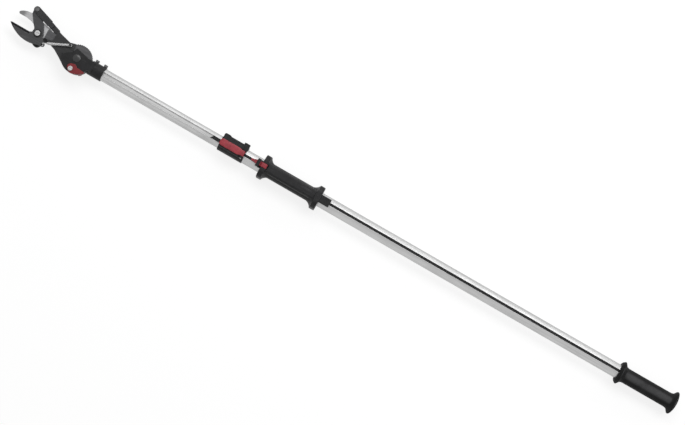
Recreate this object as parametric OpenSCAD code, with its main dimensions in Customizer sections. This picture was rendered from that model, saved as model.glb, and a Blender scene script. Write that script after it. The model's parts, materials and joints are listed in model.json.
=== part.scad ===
// Telescopic tree pruner: bypass head on a tilting hub, two poles, sliding pull grip, end grip.
// The tool lies flat. +X runs along the poles from head to end grip, +Y towards the lever side
// of the head, +Z up. The origin is on the ground under the head-side flange of the sliding grip.

/* [Poles] */
// Diameter of the inner pole
inner_d = 20.8; // [19:0.1:23]
// Wall of the inner pole
inner_wall = 1.2; // [1:0.1:1.5]
// Length of the inner pole
inner_len = 1046; // [960:1:1180]
// Wall of the outer pole
outer_wall = 1.2; // [1:0.1:1.6]
// Length of the outer pole
outer_len = 827; // [720:1:940]
// Radial gap between the two poles
pole_gap = 0.1; // [0.06:0.01:0.2]
// Room between the foot of the inner pole and the end plug
foot_gap = 5; // [2:0.5:30]
// Width of the groove along the inner pole
groove_w = 6.2; // [5:0.1:7]
// Depth of the groove along the inner pole
groove_depth = 3; // [2.6:0.1:3.4]
// Width of the slot along the outer pole
slot_w = 4.4; // [3.6:0.1:4.8]

/* [Pull gear] */
// Travel of the sliding grip
stroke = 19; // [16:1:24]
// Thickness of the pull strip
strip_t = 2.25; // [1.8:0.05:2.4]
// Length of the pull strip
strip_len = 790; // [700:1:900]
// Diameter of the pull cable
cable_d = 1.6; // [1.2:0.1:1.8]
// Radius of the cable groove in the hub roller
roller_r = 5; // [4.6:0.1:5.6]

/* [Sliding grip] */
// Length of the sliding grip
grip_len = 107; // [96:1:120]
// Diameter of the sliding grip between its flanges
grip_d = 25; // [24.8:0.1:27]
// Width and height of the flanges
flange_w = 39; // [38.6:0.2:42]
// Corner radius of the flanges
flange_r = 12; // [8:0.5:14]
// Thickness of the flanges
flange_t = 8; // [7:0.5:10]
// How far the flares bow out from a square corner
flare_bow = 2; // [0:0.5:3]
// Gap between the clamp and the sliding grip
grip_gap = 31; // [28:1:45]
// Width of the carrier under the grip
carrier_w = 13.4; // [12.6:0.1:14]
// Height of the carrier above the outer pole
carrier_h = 3.4; // [3:0.1:3.8]
// Length of the carrier beyond the head-side flange
carrier_front = 9.6; // [9:0.2:11]
// Length of the carrier beyond the other flange
carrier_back = 17.6; // [10:0.2:24]
// Width of the latch
latch_w = 8; // [7:0.1:8.4]

/* [End grip] */
// Length of the end grip
end_len = 107; // [96:1:125]
// Diameter of the end grip between its rims
end_d = 25.2; // [24.8:0.1:27]
// Diameter of the rims of the end grip
end_rim_d = 39; // [36:0.2:39]
// Length of each flare of the end grip
end_flare = 13; // [10:0.5:16]
// Thickness of the closed end
end_wall = 9; // [7:0.5:11]

/* [Clamp] */
// Length of the clamp collar
clamp_len = 45; // [42:1:52]
// Length of the collar lip ahead of the outer pole
clamp_lip = 4; // [3:0.5:6]
// Radius of the collar
clamp_r = 12.8; // [12.6:0.1:13.6]
// Reach of the collar towards the screw side
clamp_side = 15.5; // [14.6:0.1:17]
// Width of the clamp lever
clamp_lever_w = 9.8; // [8:0.1:10.4]

/* [Hub] */
// Radius of the socket lugs
hub_r = 25.2; // [24.6:0.1:27]
// Thickness of each socket lug
lug_t = 4; // [3.6:0.1:4.6]
// Distance from the tilt axis to the end of the socket
socket_reach = 48; // [44:0.5:54]
// Diameter of the socket sleeve
socket_d = 24; // [23.6:0.1:26]
// Diameter of the hub bolt
hub_bolt_d = 6; // [5:0.1:6.6]
// Number of notches in the index plate
notches = 48; // [36:1:60]

/* [Head] */
// Distance from the tilt axis to the blade pivot, along the pole
pivot_reach = 76.3; // [74:0.1:80]
// Offset of the blade pivot from the pole axis
pivot_rise = 4.6; // [3.6:0.1:5.6]
// Thickness of the cutting blade
blade_t = 3.8; // [3:0.1:4.4]
// Thickness of the hook and of the index plate
plate_t = 2.5; // [2:0.1:3]
// Thickness of each arm half
arm_t = 3.3; // [2.8:0.1:3.8]
// Gap between the blade and the plates beside it
layer_gap = 0.3; // [0.2:0.05:0.5]
// Diameter of the pivot bolt
pivot_d = 6; // [5:0.1:6.6]
// Diameter of the pivot bolt head
pivot_head_d = 8.8; // [8:0.1:10]
// Length of the pull link between its pin and its cable end
link_len = 60; // [56:0.5:62]
// Diameter of the link pin
link_pin_d = 5; // [4:0.1:5.4]

/* [Return spring] */
// Outer diameter of the spring
spring_d = 5; // [4.4:0.1:5.6]
// Diameter of the spring wire
spring_wire = 1; // [0.8:0.05:1.05]
// Number of curls
spring_curls = 22; // [16:1:23]
// Length of the coil
spring_len = 33.5; // [32:0.1:34]

/* [Fits] */
// Radial clearance of turning fits
run_gap = 0.05; // [0.02:0.01:0.1]
// Clearance between bodies that pass each other
pass_gap = 0.3; // [0.2:0.05:0.4]

/* [Hidden] */
$fn = 64;

// Poles: radii and stations along X, counted from the tilt axis
inner_r = inner_d / 2;
outer_bore_r = inner_r + pole_gap;
outer_r = outer_bore_r + outer_wall;
groove_floor = inner_r - groove_depth;
hub_clear_r = hub_r + 0.8;
inner_x0 = hub_clear_r + 2;
inner_x1 = inner_x0 + inner_len;
foot_len = 14;
foot_lip = 2;
plug_len = 14;
outer_x1 = inner_x1 + foot_lip + foot_gap + plug_len;
outer_x0 = outer_x1 - outer_len;
clamp_x0 = outer_x0 - clamp_lip;
clamp_x1 = clamp_x0 + clamp_len;
end_x1 = outer_x1 + end_wall;
end_x0 = end_x1 - end_len;
grip_x0 = clamp_x1 + grip_gap;
grip_x1 = grip_x0 + grip_len;
slot_x0 = clamp_x1 - 12;
slot_x1 = end_x0 + end_flare / 2;
seat_gap = 0.05;

// The ground lies under the flanges; the origin is under the head-side flange
ground_z = -flange_w / 2;
origin_x = grip_x0 + flange_t / 2;

// Pull strip in the groove, its dog and the cable station
strip_w = groove_w - 0.2;
strip_z0 = groove_floor + seat_gap;
strip_z1 = strip_z0 + strip_t;
strip_back = 19;
strip_x0 = inner_x1 - stroke - strip_back - strip_len;
strip_slant = 5;
dog_x0 = strip_x0 + 8;
dog_len = 6;
dog_w = 4;
dog_z0 = 1.2;
cable_z1 = dog_z0 + 2;

// Carrier and latch on top of the outer pole
carrier_z0 = outer_r + pass_gap;
carrier_z1 = carrier_z0 + carrier_h;
carrier_x0 = grip_x0 - carrier_front;
carrier_x1 = grip_x1 + carrier_back;
carrier_deck = carrier_z0 + 1.3;
rib_w = slot_w - 0.4;
rib_z0 = strip_z1 + pass_gap;
latch_pin_d = 2.5;
latch_r = 2.3;
latch_x = carrier_x0 + 3.2;
latch_z = carrier_deck + latch_r + 0.4;
latch_under = latch_z + 0.9;
latch_end = grip_x0 + flange_t + 1;
latch_tongue = 12.6;
latch_knob_h = 4.6;
latch_spring_d = 4;
latch_spring_x = grip_x0 + 3;
hump_w = carrier_w + 3.6;
hump_z = carrier_z1 + 2;
hump_r = 4;

// Clamp: lever pin and channel
clamp_shoe_t = 1;
clamp_shoe_z = outer_r + 0.1;
clamp_cam_r = 2.7;
clamp_pin_d = 3;
clamp_pin_x = clamp_x1 - 3.8;
clamp_pin_z = clamp_shoe_z + clamp_shoe_t + pass_gap + clamp_cam_r;
clamp_cheek_t = 3;
clamp_channel_w = clamp_lever_w + 2 * pass_gap;
clamp_lever_t = 3;
clamp_screw_d = 4;
clamp_screw_x = [clamp_x0 + 5.2, clamp_x1 - 5.6];
clamp_boss_d = 10.4;

// Layers of the head along Z, from the middle outwards
blade_z = blade_t / 2;
plate_z0 = blade_z + layer_gap;
plate_z1 = plate_z0 + plate_t;
arm_z1 = plate_z1 + arm_t;
lug_z0 = arm_z1 + 0.4;
lug_z1 = lug_z0 + lug_t;
lever_z0 = lug_z1 + pass_gap;
lever_z1 = lever_z0 + 3.5;
index_r = hub_r - 0.6;
arm_disc_r = 12;
hook_disc_r = 19;
back_lug_r = hub_r - 2.7;
neck_w = 18;
lever_overhang = 1.2;
hub_washer_t = 1.2;
hub_head_d = 12;
hub_washer_d = 16;
roller_z = blade_z - 0.2;
roller_flange_r = roller_r + 1.8;

// Blade pivot, lever, link and cable run in the plane of the head
pivot = [-pivot_reach, pivot_rise];
lever_top = [-20, 33.3];
tail_eye = [15.3, -11.4];
tail_hole_d = 4.6;
blade_edge = -3.1;
blade_bevel = 4.6;
link_at = pivot + lever_top;
link_dir = [cos(-18.4), sin(-18.4)];
link_drop = 6.6;
link_end = link_at + link_len * link_dir + link_drop * [link_dir.y, -link_dir.x];
link_strip_t = blade_t - 1;
link_front_t = plate_t - pass_gap;
link_joggle = 31;
link_r = 5.4;
cable_run_r = roller_r + cable_d / 2 + 0.1;

// Return spring from the blade's tail to the post on the arm
tail_at = pivot + tail_eye;
post_at = [-19.5, 13.2];
post_d = 2.6;
spring_z = arm_z1 + pass_gap + spring_d / 2;
spring_angle = atan2(post_at.y - tail_at.y, post_at.x - tail_at.x);
spring_run = norm(post_at - tail_at);
spring_start = spring_run - post_d / 2 - pass_gap - spring_wire - spring_len;
hook_wire = 1.4;
hook_seat = (tail_hole_d - hook_wire) / 2 - pass_gap;

// Tilt lever on the front lug
tilt_at = [0.3, -19.8];
tilt_shoulder_d = 4;
tilt_head_d = 7.7;
tab_angle = -50;
tab_half = 6;
tab_t = 2;
socket_screw_x = [29, 44.2];
socket_screw_d = 3;
rivet_d = 4;
rivet_at = [[-38, 2.4], [-26, -6], [-11, -13.5]];

// Corners of the flat head pieces, counted from the tilt axis
lug_edge = [[-22, -3.4], [-18.4, 0.8], [-12, 4.8], [-6.9, 14.6], [7.7, 11.2], [16, neck_w / 2]];
tang_low = [[-42, -1.6], [-14, -14]];
index_top = [[-14, 18], [-48, 17.6]];
index_nose = [-56, 3.5];
hook_top = [[-14, 12], [-48, 15.5]];
hook_nose = [-56, 5];
arm_top = [[-14, 20], [-22.9, 17.4], [-38, 21.4], [-48, 24.2], [-49, 5.6], [-57.6, 3.6], [-57, 1.8]];
arm_low = [[-42.6, -3], [-28.2, -11.5], [-17.4, -18.5], [-9, -19]];
nose_root = [[-40, 14], [-50, 0]];
lever_left = [[-6.6, -16.6], [-4, -12.6]];
lever_hump = [[0, -10.8], [5.5, -9], [8, -13.4]];
lever_right = [[15.5, -13.8]];
lever_tip = [[22, -14.6], [23.6, -17], [20.4, -18.6]];
lever_heel = [[1, -25.8], [-5.5, -22.9], [-6.6, -16.6]];

// Points of a quadratic curve from a to c that leaves towards b
function curve(a, b, c, steps = 6) = [
    for (i = [0:steps]) let (t = i / steps) (1 - t)^2 * a + 2 * t * (1 - t) * b + t^2 * c
];

// Points of a closed outline without the ones that repeat
function closed(points) = [
    for (i = [0:len(points) - 1])
        if (norm(points[i] - points[(i + 1) % len(points)]) > 0.01) points[i]
];

// Points of an arc of radius r about the origin
function arc(r, from, to, steps = 12) = [
    for (i = [0:steps]) let (a = from + (to - from) * i / steps) r * [cos(a), sin(a)]
];

// Where the line from a point touches a circle about the origin, on its lower side
function touch_below(p, r) =
    let (turn = acos(r / norm(p)), at = atan2(p.y, p.x), side = p.x < 0 ? 1 : -1)
    r * [cos(at + side * turn), sin(at + side * turn)];

// Moves the tool so that the origin lies on the ground under the grip flange
module place() {
    translate([-origin_x, 0, -ground_z]) children();
}

// Runs a Y-Z outline from x0 to x1
module along_x(x0, x1) {
    translate([x0, 0, 0]) rotate([90, 0, 90]) linear_extrude(x1 - x0) children();
}

// Runs an X-Z outline from y0 to y1
module along_y(y0, y1) {
    translate([0, y1, 0]) rotate([90, 0, 0]) linear_extrude(y1 - y0) children();
}

// Runs an X-Y outline from z0 to z1
module along_z(z0, z1) {
    translate([0, 0, z0]) linear_extrude(z1 - z0) children();
}

// Round bar along X, Y or Z
module bar_x(d, x0, x1) {
    translate([x0, 0, 0]) rotate([0, 90, 0]) cylinder(d = d, h = x1 - x0);
}

module bar_y(d, y0, y1) {
    translate([0, y0, 0]) rotate([-90, 0, 0]) cylinder(d = d, h = y1 - y0);
}

module bar_z(d, z0, z1) {
    translate([0, 0, z0]) cylinder(d = d, h = z1 - z0);
}

// Box between two corners
module block(low, high) {
    translate(low) cube(high - low);
}

// Tube of a given diameter swept along a list of points
module swept_tube(points, d, sides) {
    n = len(points);
    rings = [
        for (i = [0:n - 1])
            let (
                before = points[max(i - 1, 0)],
                after = points[min(i + 1, n - 1)],
                ahead = (after - before) / norm(after - before),
                side = cross(ahead, abs(ahead.z) > 0.9 ? [0, 1, 0] : [0, 0, 1]),
                across = side / norm(side),
                up = cross(across, ahead)
            )
            for (k = [0:sides - 1])
                let (a = 360 * k / sides) points[i] + d / 2 * (cos(a) * across + sin(a) * up)
    ];
    walls = [
        for (i = [0:n - 2], k = [0:sides - 1])
            let (a = i * sides + k, b = i * sides + (k + 1) % sides)
            each [[a, b, b + sides], [a, b + sides, a + sides]]
    ];
    first = [for (k = [1:sides - 2]) [0, k + 1, k]];
    end = (n - 1) * sides;
    last = [for (k = [1:sides - 2]) [end, end + k, end + k + 1]];
    polyhedron(rings, concat(walls, first, last));
}

// Poles

module outer_pole() color("silver") place() difference() {
    along_x(outer_x0, outer_x1) difference() {
        circle(outer_r);
        circle(outer_bore_r);
    }
    block([slot_x0, -slot_w / 2, 0], [slot_x1, slot_w / 2, outer_r + 1]);
}

module inner_section() {
    difference() {
        union() {
            difference() {
                circle(inner_r);
                circle(inner_r - inner_wall);
            }
            intersection() {
                circle(inner_r);
                translate([-groove_w / 2 - inner_wall, groove_floor - inner_wall])
                    square([groove_w + 2 * inner_wall, groove_depth + inner_wall]);
            }
        }
        translate([-groove_w / 2, groove_floor]) square([groove_w, groove_depth + 1]);
    }
}

module inner_pole() color("lightgray") place() difference() {
    along_x(inner_x0, inner_x1) inner_section();
    dog_gap = pass_gap + 0.2;
    block(
        [dog_x0 - dog_gap, -dog_w / 2 - dog_gap, 0],
        [dog_x0 + dog_len + stroke + dog_gap, dog_w / 2 + dog_gap, groove_floor + 1]
    );
    for (x = socket_screw_x)
        translate([x, 0, 0]) bar_y(socket_screw_d + 2 * run_gap, 0, inner_r + 1);
}

module inner_foot() color("dimgray") place() {
    foot_r = inner_r - inner_wall - seat_gap;
    along_x(inner_x1 - foot_len, inner_x1) intersection() {
        circle(foot_r);
        translate([-foot_r, -foot_r]) square([2 * foot_r, foot_r + groove_floor - inner_wall - seat_gap]);
    }
    along_x(inner_x1, inner_x1 + foot_lip) intersection() {
        circle(inner_r - 0.2);
        translate([-inner_r, -inner_r]) square([2 * inner_r, inner_r + groove_floor - seat_gap]);
    }
}

module end_plug() color("dimgray") place()
    bar_x(2 * (outer_bore_r - seat_gap), outer_x1 - plug_len, outer_x1);

// Length clamp

module clamp_body() color([0.16, 0.16, 0.17]) place() difference() {
    cheek_y = clamp_channel_w / 2;
    pin_r = clamp_cam_r + 0.6;
    union() {
        bar_x(2 * clamp_r, clamp_x0, clamp_x1);
        block([clamp_x0, 0, -8], [clamp_x1, clamp_side, 9]);
        for (y0 = [-cheek_y - clamp_cheek_t, cheek_y]) {
            block([clamp_x0, y0, 0], [clamp_x1, y0 + clamp_cheek_t, clamp_pin_z - 1]);
            translate([clamp_pin_x, 0, clamp_pin_z]) bar_y(2 * pin_r, y0, y0 + clamp_cheek_t);
        }
        for (i = [0, 1]) translate([clamp_screw_x[i], 0, 0])
            bar_y(clamp_boss_d, clamp_side - 6, clamp_side + 2 + 2 * i);
    }
    bar_x(2 * (outer_r + seat_gap), outer_x0, clamp_x1 + 1);
    bar_x(2 * outer_bore_r, clamp_x0 - 1, outer_x0 + 1);
    block([clamp_x0 - 1, -cheek_y, outer_r - 1.4], [clamp_x1 + 1, cheek_y, clamp_pin_z + 9]);
    translate([clamp_pin_x, 0, clamp_pin_z])
        bar_y(clamp_pin_d + 2 * seat_gap, -cheek_y - 5, cheek_y + clamp_cheek_t + 1);
    for (i = [0, 1]) translate([clamp_screw_x[i], 0, 0]) {
        bar_y(clamp_screw_d + 2 * seat_gap, outer_r, clamp_side + 8);
        bar_y(clamp_screw_d + 3.4, clamp_side + 2 * i - 0.5, clamp_side + 8);
    }
}

module clamp_screws() color("gray") place() for (i = [0, 1]) translate([clamp_screw_x[i], 0, 0]) {
    bar_y(clamp_screw_d, outer_r + seat_gap, clamp_side + 2 * i - 0.5);
    bar_y(clamp_screw_d + 3, clamp_side + 2 * i - 0.5, clamp_side + 2 * i + 1.4);
}

module clamp_shoe() color("dimgray") place() block(
    [clamp_pin_x - 9, -clamp_lever_w / 2, clamp_shoe_z],
    [clamp_x1 - 1, clamp_lever_w / 2, clamp_shoe_z + clamp_shoe_t]
);

module clamp_pin() color("gray") place() translate([clamp_pin_x, 0, clamp_pin_z])
    bar_y(clamp_pin_d, -clamp_channel_w / 2 - 4, clamp_channel_w / 2 + clamp_cheek_t);

module clamp_lever() color([0.68, 0.24, 0.27]) place() difference() {
    half = clamp_lever_w / 2;
    tip_x = clamp_x0 - 0.5;
    top = clamp_pin_z + clamp_lever_t / 2;
    under = top - clamp_lever_t;
    union() {
        translate([clamp_pin_x, 0, clamp_pin_z]) bar_y(2 * clamp_cam_r, -half, half);
        along_y(-half, half) polygon(closed(concat(
            [[clamp_pin_x, clamp_pin_z + clamp_cam_r], [clamp_pin_x, under], [tip_x + 2, under]],
            curve([tip_x + 2, under], [tip_x, under], [tip_x, under + 2]),
            curve([tip_x, top + 1.4], [tip_x + 4, top + 2.6], [tip_x + 9, top]),
            curve(
                [tip_x + 14, top], [clamp_pin_x - 14, top + 0.2],
                [clamp_pin_x, clamp_pin_z + clamp_cam_r]
            )
        )));
    }
    translate([clamp_pin_x, 0, clamp_pin_z])
        bar_y(clamp_pin_d + 2 * run_gap, -half - 1, half + 1);
}

// Sliding grip

module flange_outline() {
    flat = flange_w - 2 * flange_r;
    square([flange_w, flat], center = true);
    square([flat, flange_w], center = true);
    for (y = [-flat / 2, flat / 2], z = [-flat / 2, flat / 2]) translate([y, z]) circle(flange_r);
}

// Flange with a concave flare down to the grip, the face at x = 0 and the flare towards +X
module flange(flare) {
    corner_r = (flange_w / 2 - flange_r) * sqrt(2) + flange_r;
    along_x(0, flange_t) flange_outline();
    intersection() {
        along_x(flange_t, flange_t + flare) flange_outline();
        rotate([0, 90, 0]) rotate_extrude() polygon(closed(concat(
            [[0, flange_t], [0, flange_t + flare]],
            curve(
                [grip_d / 2 - 0.2, flange_t + flare],
                [grip_d / 2 + flare_bow, flange_t + flare_bow],
                [corner_r + 0.2, flange_t]
            )
        )));
    }
}

module grip_sleeve() color([0.17, 0.17, 0.18]) place() difference() {
    half = hump_w / 2;
    union() {
        bar_x(grip_d, grip_x0 + 1, grip_x1 - 1);
        along_x(grip_x0 + 1, grip_x1 - 1) union() {
            translate([-half, 0]) square([hump_w, hump_z - hump_r]);
            translate([hump_r - half, 0]) square([hump_w - 2 * hump_r, hump_z]);
            for (side = [-1, 1]) translate([side * (half - hump_r), hump_z - hump_r]) circle(hump_r);
        }
        translate([grip_x0, 0, 0]) flange(9);
        translate([grip_x1, 0, 0]) mirror([1, 0, 0]) flange(11);
    }
    bar_x(2 * (outer_r + 0.1), grip_x0 - 1, grip_x1 + 1);
    block(
        [grip_x0 - 1, -carrier_w / 2 - seat_gap, 0],
        [grip_x1 + 1, carrier_w / 2 + seat_gap, carrier_z1 + seat_gap]
    );
    block(
        [grip_x0 - 1, -latch_w / 2 - pass_gap, carrier_z0],
        [latch_end + 2, latch_w / 2 + pass_gap, flange_w]
    );
}

module grip_carrier() color([0.13, 0.13, 0.14]) place() difference() {
    half = carrier_w / 2;
    ear_y = latch_w / 2 + pass_gap / 2;
    ear_r = 3;
    deck_end = latch_end + 2;
    union() {
        block([carrier_x0, -half, carrier_z0], [deck_end + 1, half, carrier_deck]);
        block([deck_end, -half, carrier_z0], [carrier_x1, half, carrier_z1]);
        block([grip_x0, -rib_w / 2, rib_z0], [carrier_x1 - 4, rib_w / 2, carrier_z0 + 1]);
        for (y0 = [-half, ear_y]) {
            y1 = y0 + half - ear_y;
            translate([latch_x, 0, latch_z]) bar_y(2 * ear_r, y0, y1);
            block([latch_x - ear_r, y0, carrier_z0], [latch_x + ear_r, y1, latch_z]);
        }
    }
    translate([latch_x, 0, latch_z]) bar_y(latch_pin_d + 2 * seat_gap, -half - 1, half + 1);
    translate([latch_spring_x, 0, 0]) bar_z(latch_spring_d + 0.4, carrier_deck - 0.8, carrier_z1 + 2);
}

module latch_pin() color("gray") place() translate([latch_x, 0, latch_z])
    bar_y(latch_pin_d, -carrier_w / 2, carrier_w / 2);

module latch_spring() color("gray") place() translate([latch_spring_x, 0, 0])
    bar_z(latch_spring_d, carrier_deck - 0.8, latch_under - 0.1);

module grip_latch() color([0.62, 0.22, 0.24]) place() difference() {
    half = latch_w / 2 - pass_gap / 2;
    tip_x = latch_x - latch_tongue;
    knob_x = latch_x + 4;
    knob_top = latch_z + latch_knob_h;
    union() {
        translate([latch_x, 0, latch_z]) bar_y(2 * latch_r, -half, half);
        along_y(-half, half) polygon(closed(concat(
            [[latch_x, latch_z + latch_r], [latch_x, latch_z - 1.8], [tip_x + 1, carrier_z0 + 0.2]],
            curve([tip_x, carrier_z0 + 1.2], [tip_x, carrier_z0 + 2.6], [tip_x + 2.4, carrier_z0 + 2.9], 4)
        )));
        along_y(-half, half) polygon(closed(concat(
            [[latch_x, latch_under], [latch_x, latch_z + latch_r], [knob_x - 1, latch_z + 2.8]],
            curve([knob_x, latch_z + 3], [knob_x + 1.5, knob_top], [knob_x + 4, knob_top], 4),
            curve([latch_end - 3, knob_top], [latch_end, knob_top], [latch_end, knob_top - 2.6], 4),
            [[latch_end, latch_under]]
        )));
        along_y(-rib_w / 2, rib_w / 2) polygon([
            [tip_x + 1.6, rib_z0], [tip_x + 6, rib_z0],
            [tip_x + 7.5, carrier_z0 + 1], [tip_x + 1.2, carrier_z0 + 1]
        ]);
    }
    translate([latch_x, 0, latch_z]) bar_y(latch_pin_d + 2 * run_gap, -half - 1, half + 1);
}

// End grip

module end_grip() color([0.14, 0.14, 0.14]) place() difference() {
    rim = end_rim_d / 2;
    body = end_d / 2;
    nose = 4;
    back = end_len - nose;
    translate([end_x0, 0, 0]) rotate([0, 90, 0]) rotate_extrude() polygon(closed(concat(
        [[0, 1.6], [outer_r, 1.6]],
        curve([outer_r + 1, 0], [rim - 2, 1], [rim - 1, nose]),
        curve([rim, nose + 0.8], [rim, nose + 2.4], [rim - 1.4, nose + 3], 4),
        curve([rim - 3, nose + 4.4], [body, nose + 6], [body, nose + end_flare]),
        curve([body, back - end_flare], [body, back - 6], [rim - 3, back - 4.4]),
        curve([rim - 1.4, back - 3], [rim, back - 2.4], [rim, back - 1], 4),
        curve([rim - 0.6, back], [rim - 8, end_len], [0, end_len])
    )));
    bar_x(2 * (outer_r + seat_gap), end_x0 - 1, outer_x1);
}

// Pull gear inside the poles

module pull_strip() color([0.2, 0.2, 0.2]) place() along_z(strip_z0, strip_z1) polygon([
    [strip_x0, -strip_w / 2], [strip_x0 + strip_len, -strip_w / 2],
    [strip_x0 + strip_len, strip_w / 2], [strip_x0 + strip_slant, strip_w / 2]
]);

module strip_dog() color("gray") place() difference() {
    block([dog_x0, -dog_w / 2, dog_z0], [dog_x0 + dog_len, dog_w / 2, strip_z0]);
    translate([0, 0, cable_z1]) bar_x(cable_d + 0.2, dog_x0 - 1, dog_x0 + 3);
}

function cable_route() =
    let (
        start = link_end + 0.3 * link_dir,
        first = touch_below(start, cable_run_r),
        goal = [dog_x0 + 2.8, 0],
        last = touch_below(goal, cable_run_r),
        from = atan2(first.y, first.x),
        to = atan2(last.y, last.x),
        bend = [for (i = [0:6]) let (a = from + (to - from) * i / 6) cable_run_r * [cos(a), sin(a)]]
    )
    concat(
        [[start.x, start.y, 0]],
        [for (p = bend) [p.x, p.y, 0]],
        [[dog_x0 - 12, 0, cable_z1], [goal.x, goal.y, cable_z1]]
    );

module pull_cable() color("gray") place() swept_tube(cable_route(), cable_d, 8);

// Tilting hub

// Pie slice that opens by half_angle to each side of the tilt lever's tab
module sector(r, half_angle) {
    intersection() {
        circle(r);
        polygon(concat([[0, 0]], arc(2 * r, tab_angle - half_angle, tab_angle + half_angle, 2)));
    }
}

module lug_outline(r) {
    intersection() {
        circle(r);
        polygon([
            [-hub_r - 1, lug_edge[0].y], each lug_edge, [hub_r + 1, neck_w / 2],
            [hub_r + 1, -hub_r - 1], [-hub_r - 1, -hub_r - 1]
        ]);
    }
    translate([0, -neck_w / 2]) square([hub_clear_r + 4, neck_w]);
}

module pole_socket() color([0.2, 0.2, 0.21]) place() difference() {
    union() {
        along_z(0, lug_z1) lug_outline(hub_r);
        along_z(-lug_z1, 0) lug_outline(back_lug_r);
        bar_x(socket_d, hub_clear_r - 4, socket_reach);
    }
    bar_z(2 * hub_clear_r, -lug_z0, lug_z0);
    bar_z(hub_bolt_d + 2 * run_gap, -lug_z1 - 1, lug_z1 - 1.8);
    bar_x(2 * (inner_r + seat_gap), 0, socket_reach + 1);
    for (x = socket_screw_x) translate([x, 0, 0])
        bar_y(socket_screw_d + 2 * run_gap, 0, socket_d);
    tab_window = 14;
    along_z(lug_z0 - 1, lug_z1 + 1) difference() {
        sector(2 * hub_r, tab_window);
        circle(index_r - 0.3);
    }
    translate([tilt_at.x, tilt_at.y, 0]) bar_z(tilt_shoulder_d - 0.8, lug_z0 - 1, lug_z1 + 1);
}

module socket_screws() color("gray") place() for (x = socket_screw_x) translate([x, 0, 0]) {
    bar_y(socket_screw_d, inner_r - 3, socket_d / 2 + 0.4);
    difference() {
        bar_y(6.4, socket_d / 2 + 0.4, socket_d / 2 + 3.8);
        block([-4, socket_d / 2 + 2.8, -0.5], [4, socket_d, 0.5]);
    }
}

module hub_bolt() color("gray") place() {
    bar_z(hub_bolt_d, -lug_z1 - hub_washer_t, lug_z1 - 2);
    difference() {
        bar_z(hub_head_d, ground_z, -lug_z1 - hub_washer_t);
        bar_z(6, ground_z - 1, ground_z + 3, $fn = 6);
    }
}

module hub_washer() color("lightgray") place() difference() {
    bar_z(hub_washer_d, -lug_z1 - hub_washer_t, -lug_z1);
    bar_z(hub_bolt_d + 2 * run_gap, -lug_z1 - 2, 0);
}

module tilt_lever() color([0.5, 0.14, 0.16]) place() difference() {
    union() {
        along_z(lever_z0, lever_z1) polygon(closed(concat(
            lever_left,
            curve(lever_hump[0], lever_hump[1], lever_hump[2]),
            lever_right,
            curve(lever_tip[0], lever_tip[1], lever_tip[2], 4),
            arc(hub_r + lever_overhang, -46, -84, 8),
            curve(lever_heel[0], lever_heel[1], lever_heel[2], 4)
        )));
        along_z(plate_z0, lever_z1) difference() {
            sector(index_r + pass_gap + tab_t, tab_half);
            circle(index_r + pass_gap);
        }
    }
    translate([tilt_at.x, tilt_at.y, 0]) {
        bar_z(tilt_shoulder_d + 2 * run_gap, lever_z0 - 1, lever_z1 + 1);
        bar_z(7.4, lever_z0 - 1, lever_z0 + 1.6);
    }
}

module tilt_screw() color("silver") place() translate([tilt_at.x, tilt_at.y, 0]) {
    bar_z(tilt_shoulder_d - 1, lug_z0, lug_z1);
    bar_z(tilt_shoulder_d, lug_z1, lever_z1 + 0.2);
    difference() {
        bar_z(tilt_head_d, lever_z1 + 0.2, lever_z1 + 2);
        block([-4, -0.5, lever_z1 + 1.2], [4, 0.5, lever_z1 + 3]);
    }
}

module tilt_spring() color("gray") place() translate([tilt_at.x, tilt_at.y, 0]) difference() {
    bar_z(7, lug_z1 + seat_gap, lever_z0 + 1.4);
    bar_z(tilt_shoulder_d + 0.4, lug_z1 - 1, lever_z1);
}

// Head frame

module index_plate() color([0.36, 0.36, 0.37]) place() along_z(plate_z0, plate_z1) difference() {
    union() {
        circle(index_r);
        polygon([
            each index_top, pivot + [12.3, 15.4], pivot + [13, -0.6], index_nose, each tang_low
        ]);
    }
    circle(d = hub_bolt_d + 2 * run_gap);
    for (i = [0:notches - 1]) rotate(360 * i / notches) translate([index_r + 0.3, 0]) circle(0.9);
    for (p = rivet_at) translate(p) circle(d = rivet_d + 2 * seat_gap);
}

module arm_outline() {
    circle(arm_disc_r);
    polygon(concat(arm_top, arm_low));
}

module arm_holes() {
    circle(d = hub_bolt_d + 2 * run_gap);
    for (p = rivet_at) translate(p) circle(d = rivet_d + 2 * seat_gap);
}

module front_arm() color([0.12, 0.12, 0.13]) place() difference() {
    along_z(plate_z1, arm_z1) difference() {
        arm_outline();
        arm_holes();
    }
    translate([post_at.x, post_at.y, 0]) bar_z(post_d + 2 * seat_gap, plate_z1 + 1, arm_z1 + 1);
}

module back_arm() color([0.12, 0.12, 0.13]) place() along_z(-arm_z1, -plate_z1) difference() {
    union() {
        arm_outline();
        polygon(closed(concat(
            [nose_root[0], pivot + [10, 11], pivot + [-2, 8], pivot + [-6, 2], pivot + [-5, -8]],
            curve(pivot + [-2, -17], pivot + [8, -23.4], pivot + [12, -16], 5),
            [pivot + [16, -7], nose_root[1]]
        )));
    }
    arm_holes();
    translate(pivot) circle(d = pivot_d + 2 * seat_gap);
}

module hook_outline() {
    circle(hook_disc_r);
    polygon(closed(concat(
        hook_top,
        [pivot + [12.5, 17.6], pivot + [-10, 22.4]],
        curve(pivot + [-24.7, 25.4], pivot + [-37, 24.4], pivot + [-42.6, 19.6], 5),
        curve(pivot + [-44.2, 17.8], pivot + [-44.4, 15.2], pivot + [-42, 14.4], 4),
        curve(pivot + [-31, 14.6], pivot + [-19, 14.2], pivot + [-10.5, 8.6], 6),
        curve(pivot + [-6.6, 5], pivot + [-7, -6], pivot + [-2, -8.6], 5),
        [pivot + [7, -7], pivot + [12, 0.4], hook_nose],
        tang_low
    )));
}

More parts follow.
